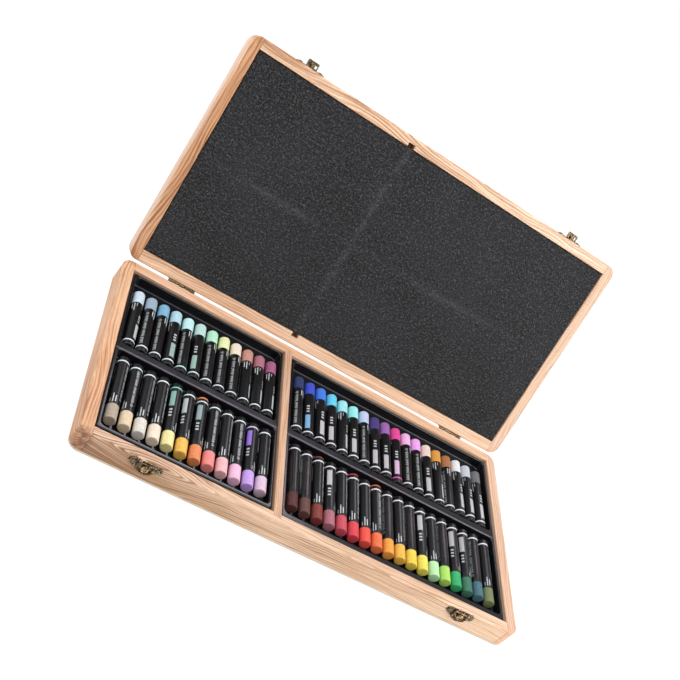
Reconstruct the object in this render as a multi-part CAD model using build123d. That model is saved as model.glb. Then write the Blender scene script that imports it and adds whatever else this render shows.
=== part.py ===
from build123d import *
import math
import os

os.makedirs("parts", exist_ok=True)

# Hinged wooden case for crayons, millimetres, +Z up, X to the right, Y to the back.
# Origin: middle of the base's footprint, on the plane that the base rests on.

# ---- driving dimensions -------------------------------------------------
CASE_W = 400.0          # outside width of base and lid
SIDE_T = 10.5           # left and right rails
FRONT_T = 9.5           # front rail
BACK_T = 10.6           # back rail
WELL_D = 188.3          # inside depth, front rail to back rail
CORNER_R = 9.0          # vertical corners of the case
RIM_R = 1.4             # rounding of the rim's outer edges
EDGE_R = 1.6            # rounding of the outer faces' edges
BASE_H = 21.4           # base, with its bottom panel
LID_T = 14.7            # lid, with its outer panel
PANEL_T = 2.6           # bottom panel and lid panel
LID_GAP = 0.4           # between the two rims when closed
OPEN_DEG = 115.8        # lid as stored, measured from closed

DIV_X = -36.5           # middle of the divider between the two wells
DIV_T = 6.8
DADO_D = 3.8            # depth of the housings cut for a divider

PITCH = 11.65           # crayon spacing
CRAYON_R = 4.85
WRAP_R = 5.05
WRAP_IN = 4.85
CRAYON_L = 67.5
TIP_L = 14.5            # bare coloured length
AXIS_Z = BASE_H - 6.0   # crayon axis above the base's underside
LIP_Z = BASE_H - 2.0    # flat lip of the trays
TRAY_T = 0.9            # formed sheet

CLASP_X = (-145.0, 142.6)
HINGE_X = (-146.5, 145.5)
HINGE_L = 25.0

# ---- derived -------------------------------------------------------------
OUT_D = FRONT_T + WELL_D + BACK_T
YF = -OUT_D / 2                 # front face
YB = OUT_D / 2                  # back face
IN_F = YF + FRONT_T
IN_B = YB - BACK_T
XL = -CASE_W / 2
IN_X = CASE_W / 2 - SIDE_T
HINGE_Y = YB + 0.9
HINGE_Z = BASE_H + LID_GAP / 2
LID_Z = BASE_H + LID_GAP        # lid rim when closed
LID_TOP = LID_Z + LID_T


def box(x0, x1, y0, y1, z0, z1):
    return Pos((x0 + x1) / 2, (y0 + y1) / 2, (z0 + z1) / 2) * Box(
        x1 - x0, y1 - y0, z1 - z0
    )


def rounded_plan(x0, x1, y0, y1, z0, z1, r):
    sk = Pos((x0 + x1) / 2, (y0 + y1) / 2, z0) * RectangleRounded(x1 - x0, y1 - y0, r)
    return extrude(sk, amount=z1 - z0, dir=(0, 0, 1))


def cyl(a, b, r):
    a, b = Vector(*a), Vector(*b)
    d = b - a
    pl = Plane(origin=a, z_dir=d.normalized())
    return extrude(pl * Circle(r), amount=d.length)


def fuse(parts):
    out = parts[0]
    for p in parts[1:]:
        out = out + p
    return out


def cut(a, tools):
    for t in tools:
        a = a - t
    return a


def opened(shape):
    """Closed-lid position to the stored open position."""
    ax = Axis((0, HINGE_Y, HINGE_Z), (1, 0, 0))
    return shape.rotate(ax, -OPEN_DEG)


def solids(shape):
    return shape.solids()


def save(name, shapes):
    if not isinstance(shapes, (list, tuple)):
        shapes = [shapes]
    flat = []
    for s in shapes:
        flat += list(solids(s))
    obj = flat[0] if len(flat) == 1 else Compound(children=flat)
    obj.label = name
    export_step(obj, f"parts/{name}.step")


# ---- case outlines --------------------------------------------------------
def shell_outline(z0, z1, rim_top):
    """Solid rounded block of the case; rim edge and outer edge rounded."""
    b = rounded_plan(XL, -XL, YF, YB, z0, z1, CORNER_R)
    top = b.edges().filter_by_position(Axis.Z, z1 - 0.01, z1 + 0.01)
    b = fillet(top, RIM_R if rim_top else EDGE_R)
    bot = b.edges().filter_by_position(Axis.Z, z0 - 0.01, z0 + 0.01)
    return fillet(bot, EDGE_R if rim_top else RIM_R)


def rails(block, z0, z1, dado_open):
    """Four rails between z0 and z1 cut from the block: sides run the full depth."""
    big = 300
    left = block & box(XL - 1, -IN_X, -big, big, z0, z1)
    right = block & box(IN_X, -XL + 1, -big, big, z0, z1)
    front = block & box(-IN_X, IN_X, YF - 1, IN_F, z0, z1)
    back = block & box(-IN_X, IN_X, IN_B, YB + 1, z0, z1)
    d0, d1 = DIV_X - DIV_T / 2, DIV_X + DIV_T / 2
    front = front - box(d0, d1, IN_F - DADO_D, IN_F + 1, z0 - 1, z1 + 1)
    back = back - box(d0, d1, IN_B - 1, IN_B + DADO_D, z0 - 1, z1 + 1)
    return left, right, front, back


def ease(rail, z, x0, x1, y0, y1):
    """Small round on the inner rim edge of one rail."""
    es = [
        e
        for e in rail.edges()
        if abs(e.center().Z - z) < 0.01
        and x0 - 0.02 <= e.center().X <= x1 + 0.02
        and y0 - 0.02 <= e.center().Y <= y1 + 0.02
        and e.length > 20
    ]
    try:
        return fillet(es, 0.6) if es else rail
    except Exception:
        return rail


base_block = shell_outline(0, BASE_H, True)
b_left, b_right, b_front, b_back = rails(base_block, PANEL_T, BASE_H, False)
b_left = ease(b_left, BASE_H, -IN_X, -IN_X, -300, 300)
b_right = ease(b_right, BASE_H, IN_X, IN_X, -300, 300)
b_front = ease(b_front, BASE_H, -300, 300, IN_F, IN_F)
b_back = ease(b_back, BASE_H, -300, 300, IN_B, IN_B)
bottom_panel = base_block & box(-300, 300, -300, 300, 0, PANEL_T)
divider = box(
    DIV_X - DIV_T / 2, DIV_X + DIV_T / 2, IN_F - DADO_D, IN_B + DADO_D, PANEL_T, BASE_H
)

lid_block = shell_outline(LID_Z, LID_TOP, False)
l_left, l_right, l_front, l_back = rails(lid_block, LID_Z, LID_TOP - PANEL_T, True)
l_left = ease(l_left, LID_Z, -IN_X, -IN_X, -300, 300)
l_right = ease(l_right, LID_Z, IN_X, IN_X, -300, 300)
l_front = ease(l_front, LID_Z, -300, 300, IN_F, IN_F)
l_back = ease(l_back, LID_Z, -300, 300, IN_B, IN_B)
lid_panel = lid_block & box(-300, 300, -300, 300, LID_TOP - PANEL_T, LID_TOP)
foam = box(
    -IN_X + 0.2, IN_X - 0.2, IN_F + 0.2, IN_B - 0.2, LID_Z + 0.6, LID_TOP - PANEL_T
)


# ---- butt hinges -----------------------------------------------------------
KN_R = 1.1
PIN_R = 0.55
LEAF_T = 0.7
LEAF_H = 9.0
SEG = HINGE_L / 5


def screw(p, d, head_r=1.7, shank_r=0.75, length=6.0):
    """Slotted round-head wood screw: head outward along d, shank the other way."""
    p, d = Vector(*p), Vector(*d)
    pl = Plane(origin=p, z_dir=d)
    head = extrude(pl * Circle(head_r), amount=0.75)
    top = head.edges().sort_by(Axis(p, d))[-1]
    head = fillet(top, 0.55)
    slot = pl.offset(0.75) * Rot(0, 0, 25) * Box(2 * head_r + 1, 0.45, 0.7)
    shank = extrude(pl * Circle(shank_r), amount=-length)
    return (head - slot) + shank


def hinge(x):
    """Leaves and pin of one hinge, in the closed position."""
    x0 = x - HINGE_L / 2
    leaf_b = box(x0, x0 + HINGE_L, YB, YB + LEAF_T, HINGE_Z - LEAF_H, HINGE_Z - 0.3)
    leaf_l = box(x0, x0 + HINGE_L, YB, YB + LEAF_T, HINGE_Z + 0.3, HINGE_Z + LEAF_H)
    for i in range(5):
        a, b = x0 + i * SEG, x0 + (i + 1) * SEG
        g = 0.2
        if i > 0:
            a += g
        if i < 4:
            b -= g
        kn = cyl((a, HINGE_Y, HINGE_Z), (b, HINGE_Y, HINGE_Z), KN_R)
        sweep = cyl((a - 0.3, HINGE_Y, HINGE_Z), (b + 0.3, HINGE_Y, HINGE_Z), KN_R + 0.35)
        if i % 2 == 0:
            leaf_l = leaf_l - sweep
            web = box(a, b, YB, YB + LEAF_T, HINGE_Z - 2.2, HINGE_Z)
            leaf_b = leaf_b + kn + web
        else:
            leaf_b = leaf_b - sweep
            web = box(a, b, YB, YB + LEAF_T, HINGE_Z, HINGE_Z + 2.2)
            leaf_l = leaf_l + kn + web
    core = cyl((x0 - 1, HINGE_Y, HINGE_Z), (x0 + HINGE_L + 1, HINGE_Y, HINGE_Z), PIN_R)
    run = cyl(
        (x0 - 1, HINGE_Y, HINGE_Z), (x0 + HINGE_L + 1, HINGE_Y, HINGE_Z), PIN_R + 0.05
    )
    pin = cyl((x0, HINGE_Y, HINGE_Z), (x0 + HINGE_L, HINGE_Y, HINGE_Z), PIN_R)
    return leaf_b - core, leaf_l - run, pin


hinge_parts = [hinge(x) for x in HINGE_X]
base_hinge_screws, lid_hinge_screws = [], []
for x in HINGE_X:
    for dx in (-7.5, 7.5):
        base_hinge_screws.append(screw((x + dx, YB + LEAF_T, HINGE_Z - 5.4), (0, 1, 0)))
        lid_hinge_screws.append(screw((x + dx, YB + LEAF_T, HINGE_Z + 5.4), (0, 1, 0)))

# ---- clasps ----------------------------------------------------------------
PLATE_T = 0.8
PIV_Z = BASE_H - 1.6            # bail pivot
PIV_Y = YF - 2.2
BAIL_R = 9.4                    # pivot to the middle of the bowed cross bar
BOW_R = 9.5                     # bow of the cross bar
LEG = 6.2                       # bail leg middle, from the clasp's middle
CP_R = 0.5                      # pivot pin
LOBE_X, LOBE_R = 9.8, 3.7       # screw lobes
BASE_LOBE_Z = BASE_H - 4.4


def front_plate(x, zc, r_mid, z_lobe, flat_z, flat_up):
    """Lobed plate on the front face: round middle, two screw lobes, one straight edge. With the straight
    edge up, the lobes run into the middle along tangents, like a shield."""
    pl = Plane(origin=(x, YF, 0), x_dir=(1, 0, 0), z_dir=(0, -1, 0))
    sk = (
        Pos(0, zc) * Circle(r_mid)
        + Pos(-LOBE_X, z_lobe) * Circle(LOBE_R)
        + Pos(LOBE_X, z_lobe) * Circle(LOBE_R)
        + Pos(0, z_lobe) * Rectangle(2 * LOBE_X, 5.4)
    )
    if flat_up:
        d = math.hypot(LOBE_X, z_lobe - zc)
        turn = math.atan2(zc - z_lobe, LOBE_X) - math.acos(-(r_mid - LOBE_R) / d)
        nx, nz = math.cos(turn), math.sin(turn)
        low = [(-LOBE_X + LOBE_R * nx, z_lobe + LOBE_R * nz), (r_mid * nx, zc + r_mid * nz)]
        top = z_lobe + LOBE_R - 0.05
        pts = low + [(-p, q) for p, q in reversed(low)] + [(LOBE_X, top), (-LOBE_X, top)]
        sk = sk + make_face(Polyline(*pts, close=True))
    lim = (
        Pos(0, flat_z - 20) * Rectangle(60, 40)
        if flat_up
        else Pos(0, flat_z + 20) * Rectangle(60, 40)
    )
    sk = sk & lim
    p = extrude(pl * sk, amount=PLATE_T)
    rim = [e for e in p.edges() if abs(e.center().Y - (YF - PLATE_T)) < 0.01]
    try:
        p = fillet(rim, 0.35)
    except Exception:
        pass
    return p


def base_clasp(x):
    plate = front_plate(x, BASE_H - 6.2, 5.6, BASE_LOBE_Z, BASE_H - 0.7, True)
    ears = []
    for s in (-1, 1):
        e = box(x + s * 4.7 - 0.5, x + s * 4.7 + 0.5, PIV_Y, YF - 0.4, PIV_Z - 0.9, PIV_Z + 0.85)
        e = e + cyl((x + s * 4.7 - 0.5, PIV_Y, PIV_Z), (x + s * 4.7 + 0.5, PIV_Y, PIV_Z), 0.9)
        ears.append(e)
    plate = fuse([plate] + ears)
    pin = cyl((x - 7.3, PIV_Y, PIV_Z), (x + 7.3, PIV_Y, PIV_Z), CP_R)
    plate = plate - pin
    # ringed knob in the middle of the plate
    zk = BASE_H - 5.4
    neck = cyl((x, YF - PLATE_T, zk), (x, YF - 3.0, zk), 1.9)
    head = cyl((x, YF - 2.4, zk), (x, YF - 4.4, zk), 3.05)
    fr = [e for e in head.edges() if abs(e.center().Y - (YF - 4.4)) < 0.01]
    head = fillet(fr, 0.8)
    dish = cyl((x, YF - 4.6, zk), (x, YF - 3.9, zk), 1.7)
    foot = cyl((x, YF - PLATE_T, zk), (x, YF - 1.3, zk), 3.6)
    knob = (neck + head + foot) - dish
    return plate, pin, knob


def bail(x):
    """Loop of flat bar: two straight legs and a bowed cross bar."""
    pl = Plane(origin=(x, PIV_Y + 0.6, PIV_Z), x_dir=(1, 0, 0), z_dir=(0, -1, 0))

    def loop(half, r):
        return Pos(0, -7.0) * Rectangle(2 * half, 14.0) & Pos(0, BOW_R - BAIL_R) * Circle(r)

    b = extrude(pl * (loop(LEG + 0.6, BOW_R + 0.6) - loop(LEG - 0.6, BOW_R - 0.6)), amount=1.2)
    ve = [e for e in b.edges().filter_by(Axis.Y) if abs(e.center().X - x) > LEG and e.center().Z < PIV_Z - 4]
    b = fillet(ve, 1.3)
    for s in (-1, 1):
        b = b + cyl((x + s * LEG - 0.6, PIV_Y, PIV_Z), (x + s * LEG + 0.6, PIV_Y, PIV_Z), 1.1)
    run = cyl((x - 8, PIV_Y, PIV_Z), (x + 8, PIV_Y, PIV_Z), CP_R + 0.05)
    return b - run


HOOK_Z = LID_Z + 2.4            # under side of the lid's standing hook


def lid_clasp(x):
    plate = front_plate(x, LID_Z + 5.6, 5.9, LID_Z + 5.8, LID_Z + 0.9, False)
    hook = box(x - 5.2, x + 5.2, YF - 6.5, YF - 0.5, HOOK_Z, HOOK_Z + 1.2)
    # window right of the hook's middle post; left of it the hook is only recessed
    hook = hook - box(x + 2.1, x + 4.2, YF - 4.0, YF - 1.5, HOOK_Z - 1, HOOK_Z + 3)
    hook = hook - box(x - 4.2, x - 2.1, YF - 5.2, YF - 1.5, HOOK_Z - 1, HOOK_Z + 0.7)
    ve = [e for e in hook.edges().filter_by(Axis.Z) if abs(e.center().Y - (YF - 6.5)) < 0.01]
    hook = fillet(ve, 0.9)
    post = box(x - 1.6, x + 1.6, YF - 3.4, YF - 0.5, HOOK_Z - 1.6, HOOK_Z + 0.5)
    return plate + hook + post


clasp_base = [base_clasp(x) for x in CLASP_X]
clasp_bail = [bail(x) for x in CLASP_X]
clasp_lid = [lid_clasp(x) for x in CLASP_X]
catch_screws, hook_screws = [], []
for x in CLASP_X:
    for dx in (-9.8, 9.8):
        catch_screws.append(screw((x + dx, YF - PLATE_T, BASE_LOBE_Z), (0, -1, 0), 1.8))
        hook_screws.append(screw((x + dx, YF - PLATE_T, LID_Z + 5.8), (0, -1, 0), 1.8))

# ---- screw holes -----------------------------------------------------------
b_back = cut(b_back, base_hinge_screws)
l_back = cut(l_back, lid_hinge_screws)
b_front = cut(b_front, catch_screws)
l_front = cut(l_front, hook_screws)
leaf_b = [cut(h[0], base_hinge_screws) for h in hinge_parts]
leaf_l = [cut(h[1], lid_hinge_screws) for h in hinge_parts]
plate_b = [cut(c[0], catch_screws) for c in clasp_base]
plate_l = [cut(c, hook_screws) for c in clasp_lid]

# ---- formed trays -----------------------------------------------------------
POCKET_F = IN_F + 7.0           # front pocket, front edge
RIDGE_F = IN_F + 91.3           # cross ridge, front edge
RIDGE_B = IN_F + 99.2
POCKET_B = IN_F + 185.2
FLOOR_Z = AXIS_Z - 5.15         # pocket floor
FOOT_R = 1.6                    # foot of the pocket walls
GAP_L, GAP_R = 3.3, 1.3         # front rail to the front edge of each tray's lip


def tray(x0, x1, first, count, front_gap):
    """Formed sheet: flat lip, two pockets, low ribs between the crayons, open underneath."""
    ty0, ty1 = IN_F + front_gap, IN_B - 0.7
    z0 = PANEL_T
    body = rounded_plan(x0, x1, ty0, ty1, z0, LIP_Z, 3.0)
    body = fillet(body.edges().filter_by_position(Axis.Z, LIP_Z - 0.01, LIP_Z + 0.01), 1.4)
    px0, px1 = x0 + 3.4, x1 - 2.6
    t = TRAY_T

    def pocket(y0, y1, grow, floor):
        p = rounded_plan(px0 - grow, px1 + grow, y0 - grow, y1 + grow, floor, LIP_Z + 5, 4.0 + grow)
        return fillet(p.edges().filter_by_position(Axis.Z, floor - 0.01, floor + 0.01), FOOT_R)

    front = pocket(POCKET_F, RIDGE_F, 0, FLOOR_Z)
    back = pocket(RIDGE_B, POCKET_B, 0, FLOOR_Z)
    inner = rounded_plan(x0 + t, x1 - t, ty0 + t, ty1 - t, z0 - 1, LIP_Z - t, 2.2)
    hollow = inner - box(px0 - t, px1 + t, POCKET_F - t, RIDGE_F + t, FLOOR_Z - t, LIP_Z)
    hollow = hollow - box(px0 - t, px1 + t, RIDGE_B - t, POCKET_B + t, FLOOR_Z - t, LIP_Z)
    body = body - front - back
    body = body - hollow
    edge = [
        e
        for e in body.edges()
        if abs(e.center().Z - LIP_Z) < 0.01
        and px0 - 0.1 <= e.center().X <= px1 + 0.1
        and POCKET_F - 0.1 <= e.center().Y <= POCKET_B + 0.1
    ]
    try:
        body = fillet(edge, 1.1)
    except Exception:
        pass
    ribs = []
    for i in range(count - 1):
        xm = first + (i + 0.5) * PITCH
        for y0, y1 in ((POCKET_F + 12, POCKET_F + 74), (RIDGE_B + 4, RIDGE_B + 64)):
            tri = Plane(origin=(xm, y0, FLOOR_Z - 0.2), x_dir=(1, 0, 0), z_dir=(0, -1, 0)) * Polygon(
                (-1.5, 0), (1.5, 0), (0.35, 2.5), (-0.35, 2.5), align=None
            )
            ribs.append(extrude(tri, amount=-(y1 - y0)))
    return fuse([body] + ribs)


TL = (-IN_X + 1.0, DIV_X - DIV_T / 2 - 0.8)
TR = (DIV_X + DIV_T / 2 + 0.8, IN_X - 1.0)
FIRST_L = -178.4
FIRST_R = -21.3
tray_left = tray(TL[0], TL[1], FIRST_L, 12, GAP_L)
tray_right = tray(TR[0], TR[1], FIRST_R, 18, GAP_R)

# ---- crayons -----------------------------------------------------------------
FRONT_TIP = IN_F + 16.5         # front row, bare end
BACK_END = IN_F + 100.2         # back row, wrapped end


def crayon(x, row):
    """Bare stick and wrapper; front row has its bare end to the front."""
    z = AXIS_Z
    if row == "front":
        a, b = FRONT_TIP, FRONT_TIP + CRAYON_L
        w0, w1 = a + TIP_L, b - 0.8
    else:
        a, b = BACK_END, BACK_END + CRAYON_L
        w0, w1 = a + 0.8, b - TIP_L
    stick = cyl((x, a, z), (x, b, z), CRAYON_R)
    stick = chamfer(stick.edges().filter_by(GeomType.CIRCLE), 0.3)
    wrap = cyl((x, w0, z), (x, w1, z), WRAP_R) - cyl((x, a - 1, z), (x, b + 1, z), WRAP_IN)
    return stick, wrap


ROWS = {
    "left_back": (FIRST_L, "back", [("a_lavender_to_blue", 3), ("b_pale_blue", 3), ("c_green_yellow_peach", 3), ("d_rose_to_purple", 3)]),
    "left_front": (FIRST_L, "front", [("a_taupe_to_white", 3), ("b_cream_to_gold", 3), ("c_orange_to_pink", 3), ("d_rose_to_lilac", 3)]),
    "right_back": (FIRST_R, "back", [("a_blues", 4), ("b_cyans_lavender", 3), ("c_purples", 3), ("d_pinks", 3), ("e_ochre_to_grey", 5)]),
    "right_front": (FIRST_R, "front", [("a_browns", 3), ("b_reds", 4), ("c_oranges", 3), ("d_yellows_mint", 3), ("e_greens_blues", 5)]),
}

NAMES = {}
for row, (first, side, groups) in ROWS.items():
    i = 0
    wraps = []
    for gname, n in groups:
        sticks = []
        for _ in range(n):
            s, w = crayon(first + i * PITCH, side)
            sticks.append(s)
            wraps.append(w)
            i += 1
        NAMES[f"sticks_{row}_{gname}"] = sticks
    NAMES[f"wrappers_{row}"] = wraps

# ---- files -----------------------------------------------------------------------
save("base_left_rail", b_left)
save("base_right_rail", b_right)
save("base_front_rail", b_front)
save("base_back_rail", b_back)
save("base_bottom_panel", bottom_panel)
save("divider", divider)
save("lid_left_rail", opened(l_left))
save("lid_right_rail", opened(l_right))
save("lid_front_rail", opened(l_front))
save("lid_back_rail", opened(l_back))
save("lid_panel", opened(lid_panel))
save("lid_foam", opened(foam))
for k, side in enumerate(("left", "right")):
    save(f"hinge_{side}_base_leaf", leaf_b[k])
    save(f"hinge_{side}_lid_leaf", opened(leaf_l[k]))
    save(f"hinge_{side}_pin", hinge_parts[k][2])
    save(f"catch_{side}_plate", plate_b[k])
    save(f"catch_{side}_pin", clasp_base[k][1])
    save(f"catch_{side}_bail", clasp_bail[k])
    save(f"hook_{side}_plate", opened(plate_l[k]))
save("catch_knobs", [c[2] for c in clasp_base])
save("hinge_base_screws", base_hinge_screws)
save("hinge_lid_screws", [opened(s) for s in lid_hinge_screws])
save("catch_screws", catch_screws)
save("hook_screws", [opened(s) for s in hook_screws])
save("tray_left", tray_left)
save("tray_right", tray_right)
for name, shapes in NAMES.items():
    save(name, shapes)
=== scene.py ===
import math
import random

import bpy
from mathutils import Matrix, Vector


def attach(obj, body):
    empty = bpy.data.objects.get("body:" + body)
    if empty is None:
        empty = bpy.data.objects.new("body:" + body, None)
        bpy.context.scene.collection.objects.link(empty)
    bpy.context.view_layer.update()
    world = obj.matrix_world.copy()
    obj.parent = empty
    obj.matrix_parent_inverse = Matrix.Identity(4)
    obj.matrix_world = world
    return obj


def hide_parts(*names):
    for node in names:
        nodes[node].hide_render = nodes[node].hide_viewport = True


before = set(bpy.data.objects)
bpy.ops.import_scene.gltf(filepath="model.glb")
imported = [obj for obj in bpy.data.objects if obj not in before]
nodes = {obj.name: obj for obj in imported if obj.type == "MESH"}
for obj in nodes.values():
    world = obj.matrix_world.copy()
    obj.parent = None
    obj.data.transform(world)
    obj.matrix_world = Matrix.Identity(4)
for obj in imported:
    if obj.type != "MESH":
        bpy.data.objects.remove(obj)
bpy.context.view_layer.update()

scene = bpy.context.scene
scene.view_settings.view_transform = "Standard"
scene.view_settings.look = "None"
scene.view_settings.exposure = 0.0
scene.view_settings.gamma = 1.0

# ---------------------------------------------------------------- dimensions, mm
CASE_W = 400.0
YF, YB = -104.2, 104.2
IN_F, IN_B, IN_X = -94.7, 93.6, 189.5
BASE_H = 21.4
LID_Z, LID_TOP, PANEL_T = 21.8, 36.5, 2.6
HINGE = (105.1, 21.6)
OPEN_DEG = 115.8
PITCH = 11.65
FIRST_L, FIRST_R = -178.4, -21.3
AXIS_Z = 15.4
STICK_R, WRAP_R = 4.85, 5.05
STICK_L, TIP_L = 67.5, 14.5
FRONT_TIP, BACK_END = IN_F + 16.5, IN_F + 100.2
DIV_X = -36.5
MM = 0.001


def lin(r, g, b):
    """0-255 display colour to linear."""
    out = []
    for c in (r, g, b):
        c = c / 255
        out.append(c / 12.92 if c <= 0.04045 else ((c + 0.055) / 1.055) ** 2.4)
    return tuple(out)


# ---------------------------------------------------------------- node helpers
class Tree:
    def __init__(self, name, rough=0.5, spec=0.5, metal=0.0):
        self.mat = bpy.data.materials.new(name)
        self.mat.use_nodes = True
        self.nt = self.mat.node_tree
        self.nt.nodes.clear()
        self.out = self.nt.nodes.new("ShaderNodeOutputMaterial")
        self.b = self.nt.nodes.new("ShaderNodeBsdfPrincipled")
        self.nt.links.new(self.b.outputs[0], self.out.inputs["Surface"])
        self.b.inputs["Roughness"].default_value = rough
        self.b.inputs["Specular IOR Level"].default_value = spec
        self.b.inputs["Metallic"].default_value = metal

    def new(self, kind, **props):
        n = self.nt.nodes.new(kind)
        for k, v in props.items():
            setattr(n, k, v)
        return n

    def put(self, socket, value):
        if isinstance(value, bpy.types.NodeSocket):
            self.nt.links.new(value, socket)
        elif isinstance(value, (tuple, list)) and socket.type == "RGBA":
            socket.default_value = (*value[:3], 1.0)
        else:
            socket.default_value = value

    def m(self, op, a, b=None, c=None, clamp=False):
        n = self.new("ShaderNodeMath", operation=op, use_clamp=clamp)
        self.put(n.inputs[0], a)
        if b is not None:
            self.put(n.inputs[1], b)
        if c is not None:
            self.put(n.inputs[2], c)
        return n.outputs[0]

    def v(self, op, a, b=None):
        n = self.new("ShaderNodeVectorMath", operation=op)
        self.put(n.inputs[0], a)
        if b is not None:
            self.put(n.inputs[1], b)
        return n.outputs[1] if op in ("LENGTH", "DISTANCE", "DOT_PRODUCT") else n.outputs[0]

    def xyz(self, vec):
        n = self.new("ShaderNodeSeparateXYZ")
        self.put(n.inputs[0], vec)
        return n.outputs[0], n.outputs[1], n.outputs[2]

    def vec(self, x, y, z):
        n = self.new("ShaderNodeCombineXYZ")
        for i, q in enumerate((x, y, z)):
            self.put(n.inputs[i], q)
        return n.outputs[0]

    def noise(self, vec, scale=1.0, detail=2.0, rough=0.5, out=0):
        n = self.new("ShaderNodeTexNoise")
        self.put(n.inputs["Vector"], vec)
        n.inputs["Scale"].default_value = scale
        n.inputs["Detail"].default_value = detail
        n.inputs["Roughness"].default_value = rough
        return n.outputs[out]

    def voronoi(self, vec, scale=1.0, feature="F1", out="Distance", rnd=1.0):
        n = self.new("ShaderNodeTexVoronoi", feature=feature)
        self.put(n.inputs["Vector"], vec)
        n.inputs["Scale"].default_value = scale
        n.inputs["Randomness"].default_value = rnd
        return n.outputs[out]

    def white(self, vec):
        n = self.new("ShaderNodeTexWhiteNoise", noise_dimensions="3D")
        self.put(n.inputs["Vector"], vec)
        return n.outputs["Value"]

    def ramp(self, fac, stops, ease="LINEAR"):
        n = self.new("ShaderNodeValToRGB")
        r = n.color_ramp
        r.interpolation = ease
        while len(r.elements) > 1:
            r.elements.remove(r.elements[-1])
        r.elements[0].position = stops[0][0]
        r.elements[0].color = _rgba(stops[0][1])
        for p, col in stops[1:]:
            e = r.elements.new(p)
            e.color = _rgba(col)
        self.put(n.inputs[0], fac)
        return n.outputs[0]

    def mix(self, fac, a, b, blend="MIX"):
        n = self.new("ShaderNodeMix", data_type="RGBA", blend_type=blend)
        self.put(n.inputs[0], fac)
        self.put(n.inputs[6], a)
        self.put(n.inputs[7], b)
        return n.outputs[2]

    def step(self, x, lo, hi):
        """0 below lo, 1 above hi."""
        n = self.new("ShaderNodeMapRange", clamp=True)
        self.put(n.inputs["Value"], x)
        n.inputs["From Min"].default_value = lo
        n.inputs["From Max"].default_value = hi
        return n.outputs[0]

    def band(self, x, lo, hi, soft):
        """1 between lo and hi with soft edges."""
        return self.m("MULTIPLY", self.step(x, lo - soft, lo + soft), self.m("SUBTRACT", 1.0, self.step(x, hi - soft, hi + soft)))

    def bump(self, height, strength, distance):
        n = self.new("ShaderNodeBump")
        n.inputs["Strength"].default_value = strength
        n.inputs["Distance"].default_value = distance
        self.put(n.inputs["Height"], height)
        self.nt.links.new(n.outputs[0], self.b.inputs["Normal"])
        return n.outputs[0]

    def colour(self, c):
        self.put(self.b.inputs["Base Color"], c)

    def rough(self, r):
        self.put(self.b.inputs["Roughness"], r)

    def place(self, closed=False):
        """Point of the surface in millimetres; for the lid, where it would be with the lid closed."""
        tc = self.new("ShaderNodeTexCoord")
        p = self.v("MULTIPLY", tc.outputs["Object"], (1000.0, 1000.0, 1000.0))
        if not closed:
            return p
        h = (0.0, HINGE[0], HINGE[1])
        r = self.new("ShaderNodeVectorRotate", rotation_type="X_AXIS")
        self.put(r.inputs["Vector"], p)
        self.put(r.inputs["Center"], h)
        r.inputs["Angle"].default_value = math.radians(OPEN_DEG)
        return r.outputs[0]


def _rgba(c):
    return (c, c, c, 1.0) if isinstance(c, (int, float)) else (*c[:3], 1.0)


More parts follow.
